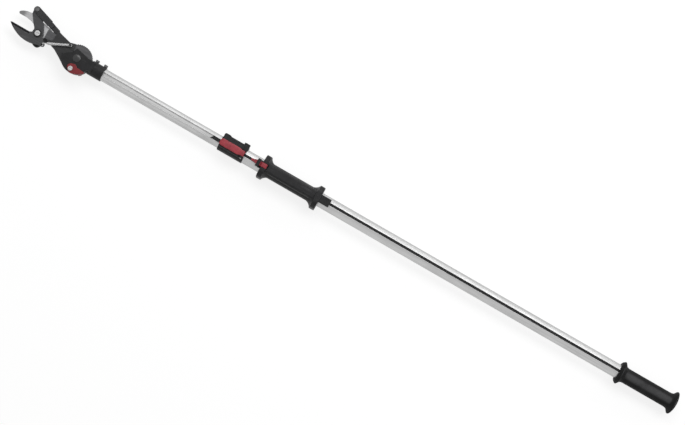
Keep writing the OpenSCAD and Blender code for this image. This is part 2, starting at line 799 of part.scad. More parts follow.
module hook_blade() color("silver") place() difference() {
    along_z(-plate_z1, -plate_z0) difference() {
        hook_outline();
        arm_holes();
        translate(pivot) circle(d = pivot_d + 2 * seat_gap);
    }
    edge_y = pivot.y + 14.4;
    along_x(pivot.x - 45, pivot.x - 28) polygon([
        [edge_y - 1, -plate_z1 - 0.1], [edge_y - 1, -plate_z0 - 0.7], [edge_y + 2.6, -plate_z1 - 0.1]
    ]);
}

module arm_rivets() color("dimgray") place() for (p = rivet_at) translate([p.x, p.y, 0])
    bar_z(rivet_d, -arm_z1, arm_z1);

module arm_spacers() color("gray") place() for (p = rivet_at) translate([p.x, p.y, 0]) difference() {
    bar_z(rivet_d + 4, -plate_z0, plate_z0);
    bar_z(rivet_d + 2 * seat_gap, -plate_z1, plate_z1);
}

module cable_roller() color("gray") place() {
    bore_r = hub_bolt_d / 2 + run_gap;
    groove_z = cable_d / 2 + 0.1;
    rim = 0.5;
    rotate_extrude() polygon([
        [bore_r, -roller_z], [roller_flange_r, -roller_z], [roller_flange_r, rim - roller_z],
        [roller_r, -groove_z], [roller_r, groove_z],
        [roller_flange_r, roller_z - rim], [roller_flange_r, roller_z], [bore_r, roller_z]
    ]);
}

// Cutting blade, its pivot, link and return spring

module blade_outline() {
    polygon(closed(concat(
        [[-47.5, -4], [-45, blade_edge]],
        curve([-14.1, blade_edge], [-8.2, blade_edge], [-8.3, 1.6], 6),
        curve([-8.3, 1.6], [-8.6, 5.6], [-13.1, 9.5], 5),
        [[-24.2, 24.4], lever_top + [-5.2, -2], lever_top + [4.6, 2.4]],
        curve([0.3, 18], [7, 10], [9.2, 0], 5),
        [[11.4, -3], tail_eye + [2.2, 2.8], tail_eye + [1, -3.4]],
        curve([8, -16.4], [-22, -26], [-47.5, -4.6], 10)
    )));
}

module cutting_blade() color([0.3, 0.3, 0.31]) place() translate([pivot.x, pivot.y, 0]) difference() {
    union() {
        along_z(-blade_z, blade_z) blade_outline();
        bar_z(18.4, -blade_z, blade_z);
        translate(lever_top) bar_z(10.4, -blade_z, blade_z);
        translate(tail_eye) bar_z(7.2, -blade_z, blade_z);
    }
    bar_z(pivot_d + 2 * run_gap, -blade_z - 1, blade_z + 1);
    translate(lever_top) bar_z(link_pin_d + 2 * seat_gap, -blade_z - 1, blade_z + 1);
    translate(tail_eye) bar_z(tail_hole_d, -blade_z - 1, blade_z + 1);
    along_x(-49, -12) polygon([
        [blade_edge + 1, blade_z + 0.1], [blade_edge + 1, 0.2 - blade_z],
        [blade_edge - blade_bevel, blade_z + 0.1]
    ]);
}

module pivot_bolt() color("silver") place() translate([pivot.x, pivot.y, 0]) {
    bar_z(pivot_d, -arm_z1 - 5, plate_z0);
    difference() {
        bar_z(pivot_head_d, plate_z0, plate_z0 + 3.4);
        block([-6, -0.6, plate_z0 + 2.4], [6, 0.6, plate_z0 + 4]);
    }
}

module pivot_nut() color("gray") place() translate([pivot.x, pivot.y, 0]) difference() {
    bar_z(11, -arm_z1 - 4, -arm_z1, $fn = 6);
    bar_z(pivot_d + 2 * seat_gap, -arm_z1 - 5, -arm_z1 + 1);
}

module pull_link() color([0.22, 0.22, 0.23]) place() translate([link_at.x, link_at.y, 0])
rotate(atan2(link_dir.y, link_dir.x)) difference() {
    wide = 5.6;
    narrow = 4.6;
    tail = 3;
    bend = link_joggle + 18;
    union() {
        bar_z(2 * link_r, plate_z0, plate_z0 + link_front_t);
        along_z(plate_z0, plate_z0 + link_front_t)
            polygon([[0, -link_r], [link_joggle, -wide], [link_joggle, wide], [0, link_r]]);
        block(
            [link_joggle - 3, -narrow, -link_strip_t / 2],
            [link_joggle + 7, narrow, plate_z0 + link_front_t - 0.8]
        );
        along_z(-link_strip_t / 2, link_strip_t / 2) polygon([
            [link_joggle - 3, -narrow], [bend, -narrow], [link_len, -tail - link_drop],
            [link_len, tail - link_drop], [bend, narrow], [link_joggle - 3, narrow]
        ]);
    }
    bar_z(link_pin_d + 2 * run_gap, 0, plate_z1 + 1);
}

module link_pin() color("silver") place() translate([link_at.x, link_at.y, 0]) {
    bar_z(link_pin_d, -blade_z, plate_z0 + link_front_t + 0.2);
    bar_z(link_pin_d + 2, plate_z0 + link_front_t + 0.2, plate_z0 + link_front_t + 1.2);
}

function spring_point(t) =
    let (
        r = (spring_d - spring_wire) / 2,
        a = 360 * spring_curls * t,
        along = spring_start + spring_len * t
    )
    [along, r * cos(a), r * sin(a)];

function spring_route() = concat(
    [spring_point(0) - [0, 0, spring_wire]],
    [for (i = [0:8 * spring_curls]) spring_point(i / (8 * spring_curls))],
    [spring_point(1) + [0, 0, spring_wire]]
);

// Least distance between curls that lie half a turn or more apart along the wire
spring_gap = min([
    for (i = [0:8 * spring_curls], k = [i + 4:min(i + 12, 8 * spring_curls)])
        norm(spring_point(i / (8 * spring_curls)) - spring_point(k / (8 * spring_curls)))
]) - spring_wire;
echo(spring_gap = spring_gap);

module on_spring_axis() {
    translate([tail_at.x, tail_at.y, spring_z]) rotate(spring_angle) children();
}

module return_spring() color("silver") place() on_spring_axis()
    swept_tube(spring_route(), spring_wire, 6);

module spring_hook() color("silver") place() on_spring_axis() translate([hook_seat, 0, 0]) {
    bar_x(hook_wire, 0, spring_start - hook_seat - pass_gap - spring_wire);
    bar_z(hook_wire, -blade_z - spring_z, 0);
    sphere(d = hook_wire);
}

module spring_post() color("silver") place() translate([post_at.x, post_at.y, 0]) {
    bar_z(post_d, plate_z1 + 1, spring_z + spring_d / 2 + 0.4);
    bar_z(post_d + 1.2, spring_z + spring_d / 2 + 0.4, spring_z + spring_d / 2 + 1.6);
}

outer_pole();
end_plug();
end_grip();
clamp_body();
clamp_screws();
clamp_shoe();
clamp_pin();
clamp_lever();
grip_sleeve();
grip_carrier();
latch_pin();
latch_spring();
grip_latch();
inner_pole();
inner_foot();
pull_strip();
strip_dog();
pull_cable();
pole_socket();
socket_screws();
hub_bolt();
hub_washer();
tilt_lever();
tilt_screw();
tilt_spring();
index_plate();
front_arm();
back_arm();
hook_blade();
arm_rivets();
arm_spacers();
cable_roller();
cutting_blade();
pivot_bolt();
pivot_nut();
pull_link();
link_pin();
return_spring();
spring_hook();
spring_post();
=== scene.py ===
"""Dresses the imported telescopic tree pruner: finishes, springs, cable and small trim, on a white stage."""

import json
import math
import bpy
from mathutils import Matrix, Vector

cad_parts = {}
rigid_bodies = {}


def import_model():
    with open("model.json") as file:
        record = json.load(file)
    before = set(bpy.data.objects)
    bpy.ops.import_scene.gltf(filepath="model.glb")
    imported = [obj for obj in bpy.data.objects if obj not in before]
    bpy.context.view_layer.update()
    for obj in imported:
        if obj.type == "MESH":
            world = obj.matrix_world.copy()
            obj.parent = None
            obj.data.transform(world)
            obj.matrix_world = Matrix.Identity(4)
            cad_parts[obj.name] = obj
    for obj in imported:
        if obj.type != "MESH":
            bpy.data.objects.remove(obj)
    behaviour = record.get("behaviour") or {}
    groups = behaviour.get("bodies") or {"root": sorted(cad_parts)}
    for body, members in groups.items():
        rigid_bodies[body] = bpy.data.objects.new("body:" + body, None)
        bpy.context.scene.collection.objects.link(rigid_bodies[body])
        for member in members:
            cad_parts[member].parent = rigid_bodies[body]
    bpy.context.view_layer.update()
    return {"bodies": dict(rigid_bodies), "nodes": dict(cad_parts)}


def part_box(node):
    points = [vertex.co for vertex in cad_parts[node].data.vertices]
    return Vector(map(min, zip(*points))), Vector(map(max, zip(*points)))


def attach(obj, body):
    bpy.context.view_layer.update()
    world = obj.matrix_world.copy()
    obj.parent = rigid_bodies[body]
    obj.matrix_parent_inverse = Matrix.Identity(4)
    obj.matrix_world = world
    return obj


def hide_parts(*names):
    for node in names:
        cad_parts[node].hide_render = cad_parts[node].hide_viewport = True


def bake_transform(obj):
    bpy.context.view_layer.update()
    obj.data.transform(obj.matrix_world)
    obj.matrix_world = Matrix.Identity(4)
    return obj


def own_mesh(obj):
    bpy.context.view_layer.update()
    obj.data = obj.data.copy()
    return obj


bl_info = {
    "name": "Telescopic Tree Pruner",
    "version": (1, 0, 0),
    "blender": (4, 5, 0),
    "location": "View3D > Sidebar > Pruner",
    "description": "Finishes, springs and small trim for the packed tree pruner pole",
    "category": "Object",
}

import bmesh
import bpy
from mathutils import Matrix, Vector

for leftover in list(bpy.data.objects):
    bpy.data.objects.remove(leftover)
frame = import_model()

# Stations in the part's frame, in metres
UP = Vector((0.0, 0.0, 1.0))
POLE_AXIS_Z = 0.0195
TILT_AXIS = Vector((-0.344, 0.0))
PIVOT = Vector((-0.4203, 0.0046))
TAIL_HOLE = Vector((-0.405, -0.0068, 0.0303))
SPRING_POST = Vector((-0.3635, 0.0132, 0.0303))

# The pull cable: its run measured from the tilt axis, and how its strands are laid
LINK_EYE = Vector((-0.04117, 0.0126))
CABLE_END = Vector((0.2568, 0.0))
DOG_NEAR = 0.242
DOG_GRIP = 0.002
ROLLER_RADIUS = 0.005
CABLE_CLEARANCE = 0.0001
WRAP_STEPS = 12
STRANDS = 6
STRAND_STEP = 0.0012
STRAND_NEAR = 1e-6
STRAND_LAY = 0.011

# Small springs: wire radius
SMALL_WIRE = 0.0003

# Return spring: points before its first curl as distance and shares of its radius, loop on the post, end hook
LEAD_IN = ((0.0016, 0.0, 0.0), (0.001, 0.25, 0.1), (0.0005, 0.65, 0.05))
CURL_STEPS = 20
POST_RADIUS = 0.0013
POST_CLEARANCE = 0.0001
LOOP_START = 145
LOOP_STEP = 12
LOOP_COUNT = 25
HOOK_SEAT = 0.0013
HOOK_BEND = 0.0014
HOOK_WIRE = 0.0006
HOOK_STRAIGHT = 0.002
HOOK_OVERLAP = 0.0012
HOOK_SHORT = 0.0004

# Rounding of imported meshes
WORN_EDGE = "worn_edge"
SHARP_ANGLE = math.radians(50)
EDGE_ANGLE = math.radians(32)
FLAT_ANGLE = math.radians(0.5)
MERGE_DISTANCE = 2e-6
END_REACH = 1e-5
BORE_RADIUS = 0.004
BORE_TURN_LEAST = 0.02
BORE_TURN_MOST = 0.6

# Stage: lengths in metres, the sensor in millimetres
WHITE = (1.0, 1.0, 1.0, 1.0)
FLOOR_GREY = (0.32, 0.32, 0.32, 1.0)
FLOOR_GLOW = 0.8
FLOOR_HALF = 20.0
FLOOR_DROP = 0.0004
VIEW_CENTRE = Vector((0.1451, 0.0002, POLE_AXIS_Z))
SENSOR_WIDTH = 36.0
LAMP_AIM = Vector((0.145, 0.0, 0.02))
# Each lamp: name, offset from its aim, size and share of the set power
LAMPS = (
    ("overhead softbox", Vector((0.1, 1.2, 2.1)), (2.8, 1.0), 1.0),
    ("side card", Vector((0.2, 2.2, 0.9)), (2.8, 0.9), 0.35),
)


# Node graphs


class Graph:
    """A node tree with short calls for placing and wiring nodes."""

    def __init__(self, tree):
        self.tree = tree

    def add(self, kind, **settings):
        node = self.tree.nodes.new(kind)
        for key, value in settings.items():
            setattr(node, key, value)
        return node

    def feed(self, socket, value):
        if isinstance(value, bpy.types.NodeSocket):
            self.tree.links.new(value, socket)
        else:
            socket.default_value = value

    def maths(self, operation, a, b=0.0):
        node = self.add("ShaderNodeMath", operation=operation)
        self.feed(node.inputs[0], a)
        self.feed(node.inputs[1], b)
        return node.outputs[0]

    def times(self, a, b):
        return self.maths("MULTIPLY", a, b)

    def vector(self, operation, a, b=None):
        node = self.add("ShaderNodeVectorMath", operation=operation)
        self.feed(node.inputs[0], a)
        if b is not None:
            self.feed(node.inputs[1], b)
        return node.outputs["Value" if operation in {"DOT_PRODUCT", "LENGTH"} else "Vector"]

    def split(self, value):
        node = self.add("ShaderNodeSeparateXYZ")
        self.feed(node.inputs[0], value)
        return node.outputs

    def span(self, value, low, high, to_low=0.0, to_high=1.0):
        node = self.add("ShaderNodeMapRange", interpolation_type="SMOOTHSTEP")
        for socket, item in zip(node.inputs, (value, low, high, to_low, to_high)):
            self.feed(socket, item)
        return node.outputs[0]

    def noise(self, place, scale, detail=2.0, roughness=0.5):
        node = self.add("ShaderNodeTexNoise")
        self.feed(node.inputs["Vector"], place)
        self.feed(node.inputs["Scale"], scale)
        self.feed(node.inputs["Detail"], detail)
        self.feed(node.inputs["Roughness"], roughness)
        return node.outputs[0]

    def mix(self, factor, a, b):
        node = self.add("ShaderNodeMix", data_type="RGBA")
        self.feed(node.inputs["Factor"], factor)
        self.feed(node.inputs["A"], a)
        self.feed(node.inputs["B"], b)
        return node.outputs["Result"]

    def wash(self, tone, mask, amount, colour):
        """Lays a colour over a tone where a mask says, at most by an amount."""
        return self.mix(self.times(mask, amount), tone, colour)

    def place(self):
        return self.add("ShaderNodeTexCoord").outputs["Object"]

    def normal(self):
        return self.add("ShaderNodeTexCoord").outputs["Normal"]

    def worn_edge(self):
        return self.add("ShaderNodeAttribute", attribute_name=WORN_EDGE).outputs["Fac"]

    def distance(self, centre, axes):
        """Distance from a centre, along the axes given as ones."""
        away = self.vector("SUBTRACT", self.place(), centre)
        return self.vector("LENGTH", self.vector("MULTIPLY", away, axes))

    def effect(self, builder, **values):
        """A shared node group, built the first time it is asked for, with its inputs by name."""
        name = builder.__name__.replace("_", " ").title()
        node = self.add("ShaderNodeGroup", node_tree=bpy.data.node_groups.get(name) or builder(name))
        for label, value in values.items():
            self.feed(node.inputs[label.replace("_", " ")], value)
        return node.outputs


def effect_group(name, inputs, outputs):
    """A shader node group: its graph, its input sockets and the sockets of its output, by name."""
    tree = bpy.data.node_groups.new(name, "ShaderNodeTree")
    for label, value in inputs.items():
        socket = tree.interface.new_socket(name=label, in_out="INPUT", socket_type="NodeSocketFloat")
        socket.default_value = value
    for label, kind in outputs.items():
        tree.interface.new_socket(name=label, in_out="OUTPUT", socket_type=kind)
    return Graph(tree), tree.nodes.new("NodeGroupInput").outputs, tree.nodes.new("NodeGroupOutput").inputs


def moulded_grain(name):
    """Fine pebbled skin of a moulded part, and slow mottling of its tone."""
    graph, given, out = effect_group(
        name,
        {"Scale": 1800.0, "Mottle": 60.0},
        {"Height": "NodeSocketFloat", "Tone": "NodeSocketFloat"},
    )
    place = graph.place()
    pebbles = graph.noise(place, given["Scale"], 2.0, 0.55)
    waves = graph.noise(place, graph.times(given["Scale"], 0.13), 1.0)
    graph.feed(out["Height"], graph.maths("ADD", pebbles, graph.times(waves, 0.8)))
    graph.feed(out["Tone"], graph.span(graph.noise(place, given["Mottle"], 4.0, 0.6), 0.3, 0.7))
    return graph.tree


def eased_edge(name):
    """Rounded shading along edges, and a broken mask of where they rub bare."""
    graph, given, out = effect_group(
        name,
        {"Radius": 0.0006, "Break Up": 260.0},
        {"Normal": "NodeSocketVector", "Rub": "NodeSocketFloat"},
    )
    bevel = graph.add("ShaderNodeBevel", samples=6)
    graph.feed(bevel.inputs["Radius"], given["Radius"])
    plain = graph.add("ShaderNodeNewGeometry").outputs["Normal"]
    facing = graph.vector("DOT_PRODUCT", bevel.outputs[0], plain)
    edge = graph.maths("MAXIMUM", graph.span(facing, 0.97, 0.75), graph.worn_edge())
    patches = graph.span(graph.noise(graph.place(), given["Break Up"], 3.0, 0.6), 0.36, 0.6)
    graph.feed(out["Normal"], bevel.outputs[0])
    graph.feed(out["Rub"], graph.times(edge, patches))
    return graph.tree


def drawn_lines(name):
    """Lines left by drawing or brushing, along the tool's length."""
    graph, given, out = effect_group(
        name,
        {"Lines": 2600.0, "Length": 60.0},
        {"Tone": "NodeSocketFloat", "Height": "NodeSocketFloat"},
    )
    stretch = graph.add("ShaderNodeCombineXYZ")
    graph.feed(stretch.inputs[0], graph.maths("DIVIDE", given["Lines"], given["Length"]))
    graph.feed(stretch.inputs[1], given["Lines"])
    graph.feed(stretch.inputs[2], given["Lines"])
    along = graph.vector("MULTIPLY", graph.place(), stretch.outputs[0])
    fine = graph.noise(along, 1.0, 3.0, 0.6)
    broad = graph.noise(along, 0.16, 2.0, 0.5)
    graph.feed(out["Tone"], graph.span(graph.maths("ADD", fine, broad), 0.7, 1.3))
    graph.feed(out["Height"], fine)
    return graph.tree


def handling_marks(name):
    """Smears from hands and a few fine scuffs."""
    graph, given, out = effect_group(
        name,
        {"Smear": 35.0, "Scuff": 420.0},
        {"Smear": "NodeSocketFloat", "Scuff": "NodeSocketFloat"},
    )
    place = graph.place()
    smear = graph.span(graph.noise(place, given["Smear"], 5.0, 0.62), 0.35, 0.75)
    slant = graph.vector("MULTIPLY", place, (0.09, 1.0, 0.6))
    scuff = graph.span(graph.noise(slant, given["Scuff"], 2.0, 0.4), 0.6, 0.68)
    graph.feed(out["Smear"], smear)
    graph.feed(out["Scuff"], graph.times(scuff, smear))
    return graph.tree


def settled_dust(name):
    """Painted highlight on what faces up, broken into soft patches."""
    graph, given, out = effect_group(
        name,
        {"Spread": 0.12, "Patches": 55.0},
        {"Dust": "NodeSocketFloat"},
    )
    most_lit_facing = Vector((0.0, -0.03, 1.0)).normalized()
    facing = graph.vector("DOT_PRODUCT", graph.normal(), most_lit_facing)
    upward = graph.span(facing, graph.maths("SUBTRACT", 1.0, given["Spread"]), 1.0)
    patches = graph.span(graph.noise(graph.place(), given["Patches"], 5.0, 0.6), 0.25, 0.6, 0.5, 1.0)
    graph.feed(out["Dust"], graph.times(graph.maths("POWER", upward, 2.0), patches))
    return graph.tree


# Finishes


def shade(colour, factor):
    return tuple(min(1.0, c * factor) for c in colour[:3]) + (1.0,)


def new_finish(name):
    material = bpy.data.materials.new(name)
    material.use_nodes = True
    graph = Graph(material.node_tree)
    shader = next(n for n in graph.tree.nodes if n.type == "BSDF_PRINCIPLED")
    return material, graph, shader


def with_relief(graph, shader, edge, height, strength, distance):
    bump = graph.add("ShaderNodeBump")
    bump.inputs["Strength"].default_value = strength
    bump.inputs["Distance"].default_value = distance
    graph.feed(bump.inputs["Height"], height)
    graph.feed(bump.inputs["Normal"], edge["Normal"])
    graph.feed(shader.inputs["Normal"], bump.outputs[0])


def moulded_finish(name, colour, grain, relief, radius, rough, specular, rub=3.6, dust=None):
    """Moulded plastic or rubber: pebbled skin, mottled tone, paler rubbed edges, and a painted highlight on
    what faces up if asked for.
    """
    material, graph, shader = new_finish(name)
    skin = graph.effect(moulded_grain, Scale=grain, Mottle=70.0)
    edge = graph.effect(eased_edge, Radius=radius, Break_Up=240.0)
    marks = graph.effect(handling_marks, Smear=42.0, Scuff=380.0)
    pale = shade(colour, rub)
    tone = graph.mix(skin["Tone"], shade(colour, 0.75), shade(colour, 1.25))
    tone = graph.wash(tone, marks["Scuff"], 0.5, pale)
    tone = graph.wash(tone, edge["Rub"], 0.6, pale)
    if dust:
        # Painted highlight: what faces up takes the pale tone
        tone = graph.mix(graph.effect(settled_dust, Spread=dust)["Dust"], tone, pale)
    graph.feed(shader.inputs["Base Color"], tone)
    graph.feed(shader.inputs["Roughness"], graph.span(marks["Smear"], 0.0, 1.0, rough + 0.07, rough - 0.07))
    shader.inputs["Specular IOR Level"].default_value = specular
    with_relief(graph, shader, edge, skin["Height"], strength=0.6, distance=relief)
    return material


def groove_grime(graph):
    """Painted shade in the groove of the inner pole: below the tube's own radius."""
    return graph.span(graph.distance((0, 0, POLE_AXIS_Z), (0, 1, 1)), 0.0101, 0.0089, 0.0, 0.2)


def tip_darkening(graph):
    """Painted shade: a darker tip on the hook."""
    return graph.span(graph.split(graph.place())[0], -0.4505, -0.4585, 0.0, 0.9)


def pivot_grease(graph):
    """Painted shadow: a dark ring round the pivot bolt, broken into patches."""
    reach = graph.distance((*PIVOT, 0), (1, 1, 0))
    ring = graph.times(graph.span(reach, 0.0078, 0.0062), graph.span(reach, 0.003, 0.0042))
    patches = graph.span(graph.noise(graph.place(), 420.0, 3.0), 0.2, 0.6, 0.45, 1.0)
    return graph.times(ring, patches)


def metal_finish(
    name, colour, lines, length, radius, rough,
    metallic=1.0, contrast=0.1, rub=1.35, scuff=0.75, painted_shade_mask=None,
):
    """Worked metal: drawn lines, smeared gloss, scuffs, rubbed edges, and painted shade where a mask for it
    is given.
    """
    material, graph, shader = new_finish(name)
    drawn = graph.effect(drawn_lines, Lines=lines, Length=length)
    edge = graph.effect(eased_edge, Radius=radius, Break_Up=300.0)
    marks = graph.effect(handling_marks, Smear=26.0, Scuff=520.0)
    tone = graph.mix(drawn["Tone"], shade(colour, 1.0 - contrast), shade(colour, 1.0 + contrast))
    tone = graph.wash(tone, marks["Smear"], 0.35, shade(colour, 0.9))
    tone = graph.wash(tone, marks["Scuff"], 0.4, shade(colour, scuff))
    tone = graph.wash(tone, edge["Rub"], 0.8, shade(colour, rub))
    # Painted shade: the tone darkens where the given mask says
    if painted_shade_mask:
        tone = graph.mix(painted_shade_mask(graph), tone, shade(colour, 0.4))
    graph.feed(shader.inputs["Base Color"], tone)
    shader.inputs["Metallic"].default_value = metallic
    gloss = graph.maths("ADD", graph.span(drawn["Tone"], 0.0, 1.0, -0.04, 0.04), marks["Smear"])
    graph.feed(shader.inputs["Roughness"], graph.span(gloss, 0.0, 1.0, rough - 0.05, rough + 0.09))
    with_relief(graph, shader, edge, drawn["Height"], strength=0.25, distance=0.00002)
    return material


def blade_finish(name, colour, ground):
    """Dark coated blade: streaked steel on its ground edge, and a coat rubbed bright along the outline."""
    material, graph, shader = new_finish(name)
    drawn = graph.effect(drawn_lines, Lines=3200.0, Length=30.0)
    edge = graph.effect(eased_edge, Radius=0.0005, Break_Up=320.0)
    marks = graph.effect(handling_marks, Smear=55.0, Scuff=600.0)
    leaning = graph.span(graph.maths("ABSOLUTE", graph.split(graph.normal())[2]), 0.995, 0.96)
    bevel = graph.times(leaning, graph.maths("SUBTRACT", 1.0, graph.worn_edge()))
    coat = graph.mix(drawn["Tone"], shade(colour, 0.9), shade(colour, 1.1))
    coat = graph.wash(coat, marks["Smear"], 0.4, shade(colour, 0.85))
    coat = graph.wash(coat, marks["Scuff"], 0.5, shade(colour, 2.2))
    # Painted shadow round the pivot bolt
    coat = graph.mix(pivot_grease(graph), coat, shade(colour, 0.3))
    steel = graph.mix(drawn["Tone"], shade(ground, 0.75), shade(ground, 1.2))
    tone = graph.mix(bevel, coat, steel)
    rub = graph.times(edge["Rub"], graph.maths("SUBTRACT", 0.8, graph.times(bevel, 0.8)))
    graph.feed(shader.inputs["Base Color"], graph.mix(rub, tone, shade(colour, 4.0)))
    graph.feed(shader.inputs["Metallic"], graph.span(bevel, 0.0, 1.0, 0.5, 0.95))
    graph.feed(shader.inputs["Roughness"], graph.span(marks["Smear"], 0.0, 1.0, 0.5, 0.36))
    with_relief(graph, shader, edge, drawn["Height"], strength=0.3, distance=0.00002)
    return material


# Each finish: its maker, its label, its colours and its values
FINISHES = {
    "silver_tube": (
        metal_finish, "Drawn Tube", ("tube",),
        # painted shade in the groove of the inner pole
        {"lines": 2600.0, "length": 90.0, "radius": 0.0004, "rough": 0.48, "painted_shade_mask": groove_grime},
    ),
    "black_plastic": (
        moulded_finish, "Moulded Plastic", ("plastic",),
        {"grain": 1500.0, "relief": 0.00013, "radius": 0.0006, "rough": 0.4, "specular": 0.2, "rub": 4.6},
    ),
    "black_rubber": (
        moulded_finish, "Soft Grip", ("rubber",),
        {"grain": 1300.0, "relief": 0.00013, "radius": 0.001, "rough": 0.6, "specular": 0.12,
         # painted highlight on what faces up
         "rub": 6.2, "dust": 0.24},
    ),
    "red_plastic": (
        moulded_finish, "Red Lever", ("lever",),
        {"grain": 1700.0, "relief": 0.00006, "radius": 0.0006, "rough": 0.36, "specular": 0.45, "rub": 1.7},
    ),
    "coated_steel": (blade_finish, "Coated Blade", ("blade", "ground_edge"), {}),
    "bright_steel": (
        metal_finish, "Bright Hook", ("hook",),
        # painted shade on the tip of the hook
        {"lines": 3000.0, "length": 25.0, "radius": 0.0005, "rough": 0.34, "painted_shade_mask": tip_darkening},
    ),
    "plate_steel": (
        metal_finish, "Index Plate", ("plate",),
        {"lines": 2800.0, "length": 12.0, "radius": 0.0004, "rough": 0.42,
         "metallic": 0.9, "contrast": 0.2, "rub": 2.6, "scuff": 1.6},
    ),
    "black_metal": (
        metal_finish, "Black Coated Metal", ("arm",),
        {"lines": 1500.0, "length": 3.0, "radius": 0.0005, "rough": 0.46,
         "metallic": 0.2, "contrast": 0.35, "rub": 12.0, "scuff": 3.0},
    ),
    "dark_red": (
        moulded_finish, "Tilt Lever", ("tilt_lever",),
        {"grain": 1700.0, "relief": 0.00006, "radius": 0.0006, "rough": 0.4, "specular": 0.4, "rub": 1.8},
    ),
    "dull_screw": (
        metal_finish, "Dull Screw", ("screw",),
        {"lines": 2400.0, "length": 3.0, "radius": 0.0003, "rough": 0.45,
         "metallic": 0.8, "contrast": 0.25, "rub": 1.8},
    ),
    "spring_wire": (
        metal_finish, "Spring Wire", ("spring",),
        {"lines": 3600.0, "length": 2.0, "radius": 0.0002, "rough": 0.3, "contrast": 0.12, "rub": 1.1},
    ),
    "polished_black": (
        moulded_finish, "Polished Cap", ("plastic",),
        {"grain": 900.0, "relief": 0.00002, "radius": 0.0004, "rough": 0.22, "specular": 0.6},
    ),
    "fastener_steel": (
        metal_finish, "Plated Fastener", ("fastener",),
        {"lines": 3600.0, "length": 4.0, "radius": 0.0003, "rough": 0.3, "contrast": 0.12, "rub": 1.2},
    ),
}


def finish_for(slot):
    """The material of one finish, made the first time a piece asks for it."""
    scene = bpy.context.scene
    key = "pruner_" + slot
    if scene.get(key) is None:
        maker, label, colours, values = FINISHES[slot]
        scene[key] = maker(label, *(getattr(scene.pruner_finishes, name) for name in colours), **values)
    return scene[key]


def dress(*nodes):
    """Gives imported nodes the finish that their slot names."""
    for name in nodes:
        for slot in frame["nodes"][name].material_slots:
            slot.material = finish_for(slot.material.name)


# Meshes


def new_piece(name, verts, faces, body, slot, replaced=(), finish=None):
    """A mesh piece in one of the record's finishes, riding a body if one is named."""
    mesh = bpy.data.meshes.new(name)
    mesh.from_pydata([tuple(v) for v in verts], [], faces)
    mesh.validate()
    for polygon in mesh.polygons:
        polygon.use_smooth = True
    piece = bpy.data.objects.new(name, mesh)
    bpy.context.scene.collection.objects.link(piece)
    mesh.set_sharp_from_angle(angle=SHARP_ANGLE)
    mesh.materials.append(finish_for(finish or slot))
    if body:
        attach(piece, body)
    if replaced:
        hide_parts(*replaced)
    return piece


def bounds_bore(edge):
    """Whether an edge runs round a small bore: the wall beside it turns inwards on a short radius."""
    for side in (e for v in edge.verts for e in v.link_edges if e is not edge and len(e.link_faces) == 2):
        turn = side.calc_face_angle(0.0)
        inward = not side.is_convex and BORE_TURN_LEAST < turn < BORE_TURN_MOST
        if inward and edge.calc_length() < BORE_RADIUS * turn:
            return True
    return False


def stands_out(edge):
    """Whether an edge is a sharp outer one, and not the rim of a small bore."""
    if len(edge.link_faces) != 2 or not edge.is_convex:
        return False
    return edge.calc_face_angle(0.0) > EDGE_ANGLE and not bounds_bore(edge)


def rounded(node, radius, ends_only=False, finish=None):
    """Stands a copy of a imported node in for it, with its outer edges rounded, or only those at its ends."""
    source = frame["nodes"][node]
    ends = [corner.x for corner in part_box(node)]
    work = bmesh.new()
    work.from_mesh(source.data)
    rounding = work.faces.layers.int.new("rounding")
    bmesh.ops.remove_doubles(work, verts=work.verts, dist=MERGE_DISTANCE)
    bmesh.ops.dissolve_limit(
        work, angle_limit=FLAT_ANGLE, verts=work.verts, edges=work.edges, delimit=set()
    )
    edges = [e for e in work.edges if stands_out(e)]
    if ends_only:
        edges = [
            e for e in edges
            if any(all(abs(v.co.x - end) < END_REACH for v in e.verts) for end in ends)
        ]
    cut = bmesh.ops.bevel(
        work, geom=edges, offset=radius, segments=3, profile=0.5, affect="EDGES", clamp_overlap=False
    )
    for face in cut["faces"]:
        face[rounding] = 1
    bmesh.ops.dissolve_degenerate(work, dist=MERGE_DISTANCE, edges=work.edges)
    work.verts.index_update()
    verts = [v.co.copy() for v in work.verts]
    faces = [[v.index for v in face.verts] for face in work.faces]
    worn = [float(all(face[rounding] for face in v.link_faces)) for v in work.verts]
    work.free()
    body = next(name for name, empty in frame["bodies"].items() if empty == source.parent)
    slot = source.material_slots[0].material.name
    piece = new_piece("rounded_" + node, verts, faces, body, slot, (node,), finish)
    piece.data.attributes.new(WORN_EDGE, "FLOAT", "POINT").data.foreach_set("value", worn)
    piece.modifiers.new("even shading", "WEIGHTED_NORMAL").keep_sharp = True
    return piece


def joined(parts):
    verts, faces = [], []
    for more_verts, more_faces in parts:
        base = len(verts)
        verts += more_verts
        faces += [tuple(base + k for k in face) for face in more_faces]
    return verts, faces


def loft(loops):
    """Skin over loops of equal count, closed at both ends."""
    count = len(loops[0])
    verts = [v for loop in loops for v in loop]
    faces = []
    for i in range(len(loops) - 1):
        for k in range(count):
            n = (k + 1) % count
            faces.append((i * count + k, i * count + n, (i + 1) * count + n, (i + 1) * count + k))
    faces.append(tuple(reversed(range(count))))
    faces.append(tuple((len(loops) - 1) * count + k for k in range(count)))
    return verts, faces


def ring(centre, normal, across, radius, sides):
    """Points of a circle in the plane of two directions."""
    turns = [math.tau * k / sides for k in range(sides)]
    return [centre + radius * (normal * math.cos(turn) + across * math.sin(turn)) for turn in turns]


def along_path(points, normal=None):
    """Each point of a path, with two directions square to it that turn as little as they can."""
    for before, point, after in zip(points[:1] + points[:-1], points, points[1:] + points[-1:]):
        ahead = (after - before).normalized()
        if normal is None:
            normal = ahead.orthogonal().normalized()
        normal = (normal - ahead * normal.dot(ahead)).normalized()
        yield point, normal, ahead.cross(normal)


def tube(points, radius, sides):
    """Round wire along a path."""
    return loft([ring(point, normal, across, radius, sides) for point, normal, across in along_path(points)])


